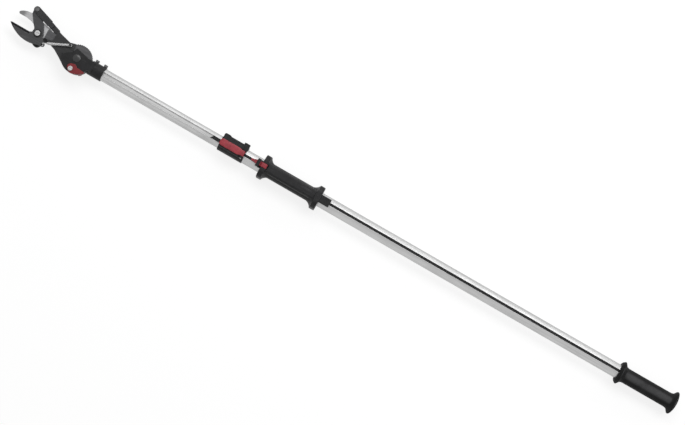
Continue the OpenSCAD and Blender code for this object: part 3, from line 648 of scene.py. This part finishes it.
def lathe(profile, centre, axis, sides=48):
    """Turns (radius, height) pairs round an axis through a point."""
    normal = axis.orthogonal().normalized()
    across = axis.cross(normal)
    return loft([ring(centre + axis * height, normal, across, radius, sides) for radius, height in profile])


def wound(node, turns, steps):
    """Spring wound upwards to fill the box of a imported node."""
    low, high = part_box(node)
    middle = (low + high) / 2
    reach = (high.x - low.x) / 2 - SMALL_WIRE
    rise = high.z - low.z - 2 * SMALL_WIRE
    path = []
    for i in range(steps * turns + 1):
        turn = math.tau * i / steps
        path.append(Vector((
            middle.x + reach * math.cos(turn),
            middle.y + reach * math.sin(turn),
            low.z + SMALL_WIRE + rise * i / (steps * turns),
        )))
    return tube(path, SMALL_WIRE, sides=8)


def pad(x, half, low, high, corner, steps=5):
    """Rounded rectangle across the tool at station x, from low to high."""
    # A short flat stays between two corners
    corner = min(corner, 0.96 * half, 0.48 * (high - low))
    loop = []
    for sy, sz, start in ((1, 1, 0), (-1, 1, 90), (-1, -1, 180), (1, -1, 270)):
        middle_y = sy * (half - corner)
        middle_z = high - corner if sz > 0 else low + corner
        for i in range(steps + 1):
            turn = math.radians(start + 90 * i / steps)
            loop.append(Vector((x, middle_y + corner * math.cos(turn), middle_z + corner * math.sin(turn))))
    return loop


def along_knots(x, knots):
    """Value at x on a smooth curve through (x, value) knots."""
    for (x0, v0), (x1, v1) in zip(knots, knots[1:]):
        if x <= x1:
            t = max(0.0, min(1.0, (x - x0) / (x1 - x0)))
            return v0 + (v1 - v0) * t * t * (3 - 2 * t)
    return knots[-1][1]


def nose(along, length, blunt=0.3):
    """Share of the full section at a distance from a rounded tip."""
    t = min(1.0, along / length)
    return blunt + (1.0 - blunt) * math.sqrt(1.0 - (1.0 - t) ** 2)


def ribs(along, first, last, pitch, height):
    """Rise of the thumb ribs that run from first to last."""
    return height * math.sin(math.tau * along / pitch) if first < along < last else 0.0


# Sizes and colours that a user would change


def colour_of(name, description, default):
    return bpy.props.FloatVectorProperty(
        name=name, description=description, default=default, subtype="COLOR", size=3, min=0.0, max=1.0
    )


def length_of(name, description, default, top):
    return bpy.props.FloatProperty(
        name=name, description=description, default=default, min=0.0, max=top,
        subtype="DISTANCE", unit="LENGTH",
    )


class PrunerFinishes(bpy.types.PropertyGroup):
    """Colours of the tool's finishes."""

    tube: colour_of("Tube", "Drawn aluminium of both poles", (0.53, 0.53, 0.53))
    plastic: colour_of("Plastic", "Moulded black plastic", (0.019, 0.019, 0.02))
    rubber: colour_of("Rubber", "Soft end grip", (0.013, 0.013, 0.0133))
    lever: colour_of("Levers", "Red moulded clamp lever and latch", (0.36, 0.035, 0.05))
    tilt_lever: colour_of("Tilt lever", "Darker red of the tilt lever", (0.2, 0.012, 0.016))
    blade: colour_of("Blade", "Dark coating of the cutting blade", (0.055, 0.055, 0.057))
    ground_edge: colour_of("Ground edge", "Steel of the ground edge", (0.014, 0.014, 0.015))
    hook: colour_of("Hook", "Bright steel of the hook", (0.42, 0.42, 0.425))
    plate: colour_of("Index plate", "Dull steel of the notched plate", (0.085, 0.085, 0.088))
    arm: colour_of("Arms", "Black coating of arms and link", (0.014, 0.014, 0.015))
    fastener: colour_of("Fasteners", "Plated bolts, screws and cable", (0.5, 0.5, 0.5))
    screw: colour_of("Socket screws", "Dull steel of the socket screws and link rivet", (0.13, 0.13, 0.133))
    spring: colour_of("Spring", "Bright wire of the return spring", (0.58, 0.58, 0.58))


class PrunerTrim(bpy.types.PropertyGroup):
    """Sizes of the springs, the cable and the hub cap."""

    spring_across: length_of("Spring across", "Outer diameter of the return spring", 0.005, 0.0056)
    spring_wire: length_of("Spring wire", "Diameter of the return spring's wire", 0.001, 0.00105)
    spring_curls: bpy.props.IntProperty(
        name="Spring curls", description="Turns of the return spring", default=30, min=16, max=32
    )
    spring_start: length_of("Spring start", "From the blade's tail hole to the first curl", 0.00997, 0.02)
    spring_length: length_of("Spring length", "Length of the coil at rest", 0.0335, 0.034)
    cable_across: length_of("Cable across", "Diameter of the stranded pull cable", 0.0016, 0.0018)
    cap_across: length_of("Hub cap", "Diameter of the domed cap on the tilt hub", 0.013, 0.016)


class PrunerStage(bpy.types.PropertyGroup):
    """Camera and light."""

    distance: length_of("Camera distance", "From the camera to the pole's axis", 2.4, 20.0)
    tilt: bpy.props.FloatProperty(
        name="Camera tilt",
        description="Lean of the view from straight above",
        default=math.radians(8),
        subtype="ANGLE",
    )
    turn: bpy.props.FloatProperty(
        name="Pole slant",
        description="Slant of the pole in the picture",
        default=math.radians(29.945),
        subtype="ANGLE",
    )
    across: length_of("View across", "Width of the view at the pole's axis", 1.096, 4.0)
    key: bpy.props.FloatProperty(
        name="Overhead light",
        description="Power of the overhead softbox",
        default=25.0,
        subtype="POWER",
        unit="POWER",
    )
    fill: bpy.props.FloatProperty(
        name="Room light",
        description="Strength of the white room",
        default=0.34,
        min=0.0,
        subtype="FACTOR",
    )
    ceiling: bpy.props.FloatProperty(
        name="Ceiling",
        description="Brightness of the ceiling in reflections",
        default=0.85,
        min=0.0,
        subtype="FACTOR",
    )


# Operators


class PRUNER_OT_stage(bpy.types.Operator):
    """White floor, soft light and the camera over the tool."""

    bl_idname = "pruner.stage"
    bl_label = "Stage"

    def execute(self, context):
        given = context.scene.pruner_stage
        self.floor(context.scene)
        self.room(context.scene, given)
        self.lamps(context.scene, given)
        self.camera(context.scene, given)
        context.scene.view_settings.view_transform = "Standard"
        return {"FINISHED"}

    @staticmethod
    def floor(scene):
        mesh = bpy.data.meshes.new("floor")
        corners = [(-1, -1), (1, -1), (1, 1), (-1, 1)]
        mesh.from_pydata([(x * FLOOR_HALF, y * FLOOR_HALF, 0) for x, y in corners], [], [(0, 1, 2, 3)])
        floor = bpy.data.objects.new("floor", mesh)
        scene.collection.objects.link(floor)
        floor.location.z = -FLOOR_DROP
        material, graph, shader = new_finish("White Floor")
        shader.inputs["Base Color"].default_value = FLOOR_GREY
        shader.inputs["Roughness"].default_value = 1.0
        shader.inputs["Specular IOR Level"].default_value = 0.0
        shader.inputs["Emission Color"].default_value = WHITE
        path = graph.add("ShaderNodeLightPath").outputs
        seen = graph.maths("MAXIMUM", path["Is Camera Ray"], path["Is Glossy Ray"])
        seen = graph.maths("MAXIMUM", seen, path["Is Transmission Ray"])
        graph.feed(shader.inputs["Emission Strength"], graph.times(seen, FLOOR_GLOW))
        mesh.materials.append(material)

    @staticmethod
    def room(scene, given):
        world = bpy.data.worlds.new("White Room")
        world.use_nodes = True
        graph = Graph(world.node_tree)
        sky = next(n for n in graph.tree.nodes if n.type == "BACKGROUND")
        sky.inputs["Color"].default_value = WHITE
        path = graph.add("ShaderNodeLightPath").outputs
        upward = graph.split(graph.add("ShaderNodeTexCoord").outputs["Generated"])[2]
        ceiling = graph.span(upward, 0.3, 0.95, 1.0, given.ceiling)
        mirrored = graph.times(path["Is Glossy Ray"], ceiling)
        seen = graph.maths("MAXIMUM", path["Is Camera Ray"], path["Is Transmission Ray"])
        strength = graph.maths("MAXIMUM", graph.maths("MAXIMUM", seen, mirrored), given.fill)
        graph.feed(sky.inputs["Strength"], strength)
        scene.world = world

    @staticmethod
    def lamps(scene, given):
        for name, offset, size, share in LAMPS:
            lamp = bpy.data.lights.new(name, "AREA")
            lamp.shape = "RECTANGLE"
            lamp.size, lamp.size_y = size
            lamp.energy = share * given.key
            holder = bpy.data.objects.new(name, lamp)
            scene.collection.objects.link(holder)
            holder.location = LAMP_AIM + offset
            holder.rotation_euler = offset.to_track_quat("Z", "Y").to_euler()

    @staticmethod
    def camera(scene, given):
        lens = bpy.data.cameras.new("camera")
        lens.sensor_width = SENSOR_WIDTH
        lens.lens = SENSOR_WIDTH * given.distance / given.across
        camera = bpy.data.objects.new("camera", lens)
        scene.collection.objects.link(camera)
        ahead = Vector((1.0, 0.0, 0.0))
        back = Vector((0.0, -math.sin(given.tilt), math.cos(given.tilt)))
        rise = Vector((0.0, math.cos(given.tilt), math.sin(given.tilt)))
        right = math.cos(given.turn) * ahead + math.sin(given.turn) * rise
        up = -math.sin(given.turn) * ahead + math.cos(given.turn) * rise
        turn = Matrix((right, up, back)).transposed().to_4x4()
        camera.matrix_world = Matrix.Translation(VIEW_CENTRE + given.distance * back) @ turn
        scene.camera = camera


class PRUNER_OT_poles(bpy.types.Operator):
    """Drawn tube finish on both poles, and the parts that close their ends."""

    bl_idname = "pruner.poles"
    bl_label = "Poles"

    def execute(self, context):
        dress("outer_pole", "inner_pole", "end_plug", "inner_foot")
        return {"FINISHED"}


class PRUNER_OT_pull_gear(bpy.types.Operator):
    """Pull strip and its dog, the roller, and the stranded cable between strip and head."""

    bl_idname = "pruner.pull_gear"
    bl_label = "Pull gear"

    def execute(self, context):
        dress("pull_strip", "strip_dog", "cable_roller")
        across = context.scene.pruner_trim.cable_across
        strands = joined(self.strands(self.route(across), across))
        cable = new_piece("pull_cable_strands", *strands, None, "fastener_steel", ("pull_cable",))
        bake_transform(cable)
        return {"FINISHED"}

    @staticmethod
    def touch(point, radius, side):
        """Angle at which a line from a point touches the roller, on one side."""
        return math.atan2(point.y, point.x) + side * math.acos(radius / point.length)

    def route(self, across):
        """From the link's eye round the underside of the roller and down the pole to the dog."""
        radius = ROLLER_RADIUS + across / 2 + CABLE_CLEARANCE
        first = self.touch(LINK_EYE, radius, 1)
        last = self.touch(CABLE_END, radius, -1)
        wrap = [first + (last - first) * i / WRAP_STEPS for i in range(WRAP_STEPS + 1)]
        flat = [LINK_EYE] + [radius * Vector((math.cos(turn), math.sin(turn))) for turn in wrap]
        run = [Vector((TILT_AXIS.x + p.x, p.y, POLE_AXIS_Z)) for p in flat]
        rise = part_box("strip_dog")[0].z + DOG_GRIP
        return run + [Vector((TILT_AXIS.x + reach, 0.0, rise)) for reach in (DOG_NEAR, CABLE_END.x)]

    @staticmethod
    def strands(run, across):
        """Wires laid round a core along the run."""
        even = [run[0]]
        for goal in run[1:]:
            while (goal - even[-1]).length > STRAND_STEP:
                step = (goal - even[-1]).normalized() * STRAND_STEP
                if (goal - even[-1] - step).length < STRAND_NEAR:
                    break
                even.append(even[-1] + step)
        # Three wires lie side by side across the cable
        wire = across / 6
        parts = []
        for strand in range(STRANDS):
            path = []
            for i, (point, normal, side) in enumerate(along_path(even, UP)):
                turn = math.tau * (strand / STRANDS + i * STRAND_STEP / STRAND_LAY)
                out = normal * math.cos(turn) + side * math.sin(turn)
                path.append(point + out * (across / 2 - wire))
            parts.append(tube(path, wire, sides=6))
        parts.append(tube(even, wire, sides=6))
        return parts


class PRUNER_OT_end_grip(bpy.types.Operator):
    """Soft grip on the lower end of the outer pole."""

    bl_idname = "pruner.end_grip"
    bl_label = "End grip"

    def execute(self, context):
        rounded("end_grip", radius=0.0008, ends_only=True)
        return {"FINISHED"}


class PRUNER_OT_sliding_grip(bpy.types.Operator):
    """Sliding grip with its carrier, red latch, pin and latch spring."""

    bl_idname = "pruner.sliding_grip"
    bl_label = "Sliding grip"

    def execute(self, context):
        dress("latch_pin")
        rounded("grip_sleeve", radius=0.0012, ends_only=True)
        rounded("grip_carrier", radius=0.0004)
        new_piece("latch_trigger", *joined(self.trigger()), "latch", "red_plastic", ("grip_latch",))
        new_piece("latch_bridge", *loft(self.bridge()), "grip", "black_plastic")
        spring = wound("latch_spring", turns=5, steps=16)
        coil = new_piece("latch_coil", *spring, "grip", "fastener_steel", ("latch_spring",))
        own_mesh(coil)
        return {"FINISHED"}

    @staticmethod
    def bridge():
        """Rounded bar from ear to ear over the latch's pin."""
        low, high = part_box("latch_pin")
        middle, half = (low.x + high.x) / 2, (high.y - low.y) / 2
        deep, thick, corner, proud = 0.0026, 0.0015, 0.0005, 0.0009
        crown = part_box("grip_carrier")[1].z + proud
        steps = 12
        loops = []
        for i in range(steps + 1):
            turn = math.pi * i / steps
            swell = math.sin(turn)
            loops.append(pad(
                middle - deep * math.cos(turn),
                half - corner * (1 - swell),
                crown - thick,
                crown - 0.6 * thick * (1 - swell),
                corner,
            ))
        return loops

    @staticmethod
    def trigger():
        """Tapered nose over the strip, saddle at the pin, ribbed button in the flange and a tooth below."""
        low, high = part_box("grip_latch")
        length, half = high.x - low.x, (high.y - low.y) / 2
        bottom = [
            (0.0, 0.0036), (0.001, 0.0023), (0.0085, 0.0036),
            (0.0126, 0.0042), (0.0142, 0.0068), (length, 0.007),
        ]
        top = [
            (0.0, 0.0042), (0.0026, 0.0049), (0.011, 0.0073), (0.0158, 0.0075),
            (0.0192, 0.01), (0.0235, 0.0103), (length - 0.0016, 0.0098), (length, 0.0082),
        ]
        width = [(0.0, 0.4 * half), (0.004, 0.62 * half), (0.0105, 0.98 * half), (length, half)]
        corner = 0.001
        steps = 80
        loops = []
        for i in range(steps + 1):
            along = length * i / steps
            rib = ribs(along, first=0.0184, last=0.0264, pitch=0.0016, height=0.00014)
            loops.append(pad(
                low.x + along,
                along_knots(along, width),
                low.z + along_knots(along, bottom),
                low.z + along_knots(along, top) + rib,
                corner,
            ))
        start, reach, thick, tall, edge = 0.0016, 0.0048, 0.0016, 0.0032, 0.0003
        tooth = [pad(low.x + start + reach * i / 6, thick, low.z, low.z + tall, edge) for i in range(7)]
        return [loft(loops), loft(tooth)]


class PRUNER_OT_length_clamp(bpy.types.Operator):
    """Collar that clamps the inner pole, with its red cam lever."""

    bl_idname = "pruner.length_clamp"
    bl_label = "Length clamp"

    def execute(self, context):
        dress("clamp_pin", "clamp_shoe")
        rounded("clamp_body", radius=0.0007, ends_only=True)
        rounded("clamp_screws", radius=0.0003)
        new_piece("clamp_lever_grip", *loft(self.lever()), "clamp_lever", "red_plastic", ("clamp_lever",))
        return {"FINISHED"}

    @staticmethod
    def capped(x, stem, cap, low, step, high):
        """Section across the lever: a stem between the cheeks under a wider cap that starts at step."""
        crown = pad(x, cap, step, high, corner=0.0016)
        foot = pad(x, stem, low, step, corner=0.0004)
        half = len(crown) // 2
        left = [Vector((x, -cap, step)), Vector((x, -stem, step))]
        right = [Vector((x, stem, step)), Vector((x, cap, step))]
        return crown[:half] + left + foot[half:] + right

    def lever(self):
        """Lever with a raised, ribbed thumb tip, a cap over the cheeks and a round cam at its pin."""
        low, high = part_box("clamp_lever")
        cam = 0.0027
        pin_x, pin_z = high.x - cam, low.z + cam
        length = high.x - low.x
        body = length - cam
        bottom = [(0.0, 0.0024), (0.005, 0.0013), (length - 0.008, 0.0013), (body, 0.0)]
        top = [(0.0, 0.0046), (0.0065, 0.0058), (0.013, 0.0042), (length - 0.012, 0.0046), (body, 0.0054)]
        stem = [(0.0, 0.0043), (0.005, 0.0045), (length - 0.014, 0.0046), (length - 0.007, 0.0047)]
        cap = [(0.0, 0.0055), (0.006, 0.0059), (body - 0.0085, 0.006), (body - 0.0043, 0.0049)]
        cheeks, sunk, tip_length = 0.0021, 0.0001, 0.0035
        steps = 110
        loops = []
        for i in range(steps + 1):
            along = body * i / steps
            rib = ribs(along, first=0.0026, last=0.0094, pitch=0.0017, height=0.00016)
            tip = nose(along, tip_length)
            under = along_knots(along, bottom)
            rise = along_knots(along, top) + rib - sunk - under
            base = under + 0.4 * rise * (1 - tip)
            crest = under + rise - 0.6 * rise * (1 - tip)
            loops.append(self.capped(
                low.x + along,
                along_knots(along, stem) * tip,
                along_knots(along, cap) * tip,
                low.z + base,
                low.z + max(cheeks, base + 0.15 * (crest - base)),
                low.z + crest,
            ))
        for i in range(1, 9):
            turn = math.radians(11 * i)
            reach = cam * math.cos(turn)
            x = pin_x + cam * math.sin(turn)
            loops.append(self.capped(
                x, stem[-1][1], cap[-1][1], pin_z - reach, pin_z - 0.22 * reach, pin_z + reach
            ))
        return loops


class PRUNER_OT_tilt_hub(bpy.types.Operator):
    """Socket with its lugs, hub bolt, domed cap, and the red tilt lever with its spring."""

    bl_idname = "pruner.tilt_hub"
    bl_label = "Tilt hub"

    def execute(self, context):
        dress("hub_washer")
        rounded("pole_socket", radius=0.0005)
        rounded("socket_screws", radius=0.0002, finish="dull_screw")
        rounded("tilt_lever", radius=0.0004, finish="dark_red")
        rounded("hub_bolt", radius=0.0003)
        rounded("tilt_screw", radius=0.00025)
        cap = self.cap(context.scene.pruner_trim.cap_across / 2)
        new_piece("hub_cap", *cap, "pole", "black_metal", finish="polished_black")
        spring = wound("tilt_spring", turns=2, steps=20)
        new_piece("tilt_coil", *spring, "pole", "fastener_steel", ("tilt_spring",))
        return {"FINISHED"}

    @staticmethod
    def cap(radius):
        """Low dome that sits on the upper lug."""
        rim, dome = 0.0004, 0.0012
        profile = [(radius, -rim), (radius, rim)]
        for i in range(1, 9):
            turn = math.radians(10 * i)
            profile.append((radius * math.cos(turn), rim + dome * math.sin(turn)))
        seat = Vector((*TILT_AXIS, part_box("pole_socket")[1].z))
        return lathe(profile, seat, UP)


class PRUNER_OT_head_frame(bpy.types.Operator):
    """Fixed hook, notched plate and the two arms with their rivets."""

    bl_idname = "pruner.head_frame"
    bl_label = "Head frame"

    def execute(self, context):
        dress("index_plate", "arm_spacers", "spring_post")
        rounded("hook_blade", radius=0.0002)
        rounded("front_arm", radius=0.0004)
        rounded("back_arm", radius=0.0004)
        rounded("arm_rivets", radius=0.00025)
        return {"FINISHED"}


class PRUNER_OT_blade(bpy.types.Operator):
    """Cutting blade on its pivot bolt, and the pull link on its lever."""

    bl_idname = "pruner.blade"
    bl_label = "Blade and link"

    def execute(self, context):
        rounded("cutting_blade", radius=0.0002)
        rounded("pivot_bolt", radius=0.0003)
        rounded("pivot_nut", radius=0.0003)
        rounded("pull_link", radius=0.0004)
        rounded("link_pin", radius=0.00025, finish="dull_screw")
        return {"FINISHED"}


class PRUNER_OT_return_spring(bpy.types.Operator):
    """Wound return spring with a loop on its post and a hook in the blade's tail."""

    bl_idname = "pruner.return_spring"
    bl_label = "Return spring"

    def execute(self, context):
        given = context.scene.pruner_trim
        start, wire = given.spring_start, given.spring_wire / 2
        looks = ("fastener_steel", ("return_spring",), "spring_wire")
        coil = new_piece("return_coil", *tube(self.coil(given), wire, sides=10), None, *looks)
        self.at(start)
        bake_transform(coil)
        looks = ("fastener_steel", ("spring_hook",), "spring_wire")
        new_piece("spring_hook_wire", *tube(self.hook(start), HOOK_WIRE, sides=12), "spring_hook", *looks)
        return {"FINISHED"}

    @staticmethod
    def at(distance, out=0.0, rise=0.0):
        """Point at a distance from the tail hole towards the post, moved out sideways and up."""
        along = (SPRING_POST - TAIL_HOLE).normalized()
        side = Vector((-along.y, along.x, 0.0))
        return TAIL_HOLE + along * distance + side * out + UP * rise

    def coil(self, given):
        """Path of the wire: a lead-in, the curls and an open loop round the post."""
        start, wire = given.spring_start, given.spring_wire / 2
        reach = given.spring_across / 2 - wire
        path = [self.at(start - before, out * reach, rise * reach) for before, out, rise in LEAD_IN]
        steps = CURL_STEPS * given.spring_curls
        for i in range(steps + 1):
            turn = math.tau * given.spring_curls * i / steps
            distance = start + given.spring_length * i / steps
            path.append(self.at(distance, reach * math.cos(turn), reach * math.sin(turn)))
        run = (SPRING_POST - TAIL_HOLE).length
        loop = POST_RADIUS + wire + POST_CLEARANCE
        for i in range(LOOP_COUNT):
            turn = math.radians(LOOP_START - LOOP_STEP * i)
            path.append(self.at(run + loop * math.cos(turn), loop * math.sin(turn)))
        return path

    def hook(self, start):
        """Path of the end hook: straight from the coil, then bent down through the tail hole."""
        corner = HOOK_SEAT + HOOK_BEND
        path = [self.at(start - HOOK_OVERLAP), self.at(corner + HOOK_STRAIGHT), self.at(corner)]
        for i in range(1, 7):
            turn = math.radians(15 * i)
            distance = corner - HOOK_BEND * math.sin(turn)
            path.append(self.at(distance, 0.0, -HOOK_BEND + HOOK_BEND * math.cos(turn)))
        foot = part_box("cutting_blade")[0].z - TAIL_HOLE.z
        return path + [self.at(HOOK_SEAT, 0.0, foot + HOOK_SHORT)]


class PRUNER_PT_panel(bpy.types.Panel):
    """Lists the tool's pieces and the values that shape them."""

    bl_idname = "PRUNER_PT_panel"
    bl_label = "Tree Pruner"
    bl_space_type = "VIEW_3D"
    bl_region_type = "UI"
    bl_category = "Pruner"

    def draw(self, context):
        for operator in STEPS:
            self.layout.operator(operator.bl_idname)
        for group in GROUPS:
            values = getattr(context.scene, group)
            box = self.layout.box()
            for key in values.bl_rna.properties.keys():
                if key not in {"rna_type", "name"}:
                    box.prop(values, key)


GROUPS = {
    "pruner_finishes": PrunerFinishes,
    "pruner_trim": PrunerTrim,
    "pruner_stage": PrunerStage,
}
STEPS = (
    PRUNER_OT_stage,
    PRUNER_OT_poles,
    PRUNER_OT_pull_gear,
    PRUNER_OT_end_grip,
    PRUNER_OT_sliding_grip,
    PRUNER_OT_length_clamp,
    PRUNER_OT_tilt_hub,
    PRUNER_OT_head_frame,
    PRUNER_OT_blade,
    PRUNER_OT_return_spring,
)


def register():
    for cls in (*GROUPS.values(), *STEPS, PRUNER_PT_panel):
        bpy.utils.register_class(cls)
    for name, group in GROUPS.items():
        setattr(bpy.types.Scene, name, bpy.props.PointerProperty(type=group))


def unregister():
    for name in GROUPS:
        delattr(bpy.types.Scene, name)
    for cls in reversed((*GROUPS.values(), *STEPS, PRUNER_PT_panel)):
        bpy.utils.unregister_class(cls)


def main():
    register()
    for step in STEPS:
        family, name = step.bl_idname.split(".")
        getattr(getattr(bpy.ops, family), name)()
    bpy.context.view_layer.update()


if __name__ == "__main__":
    main()
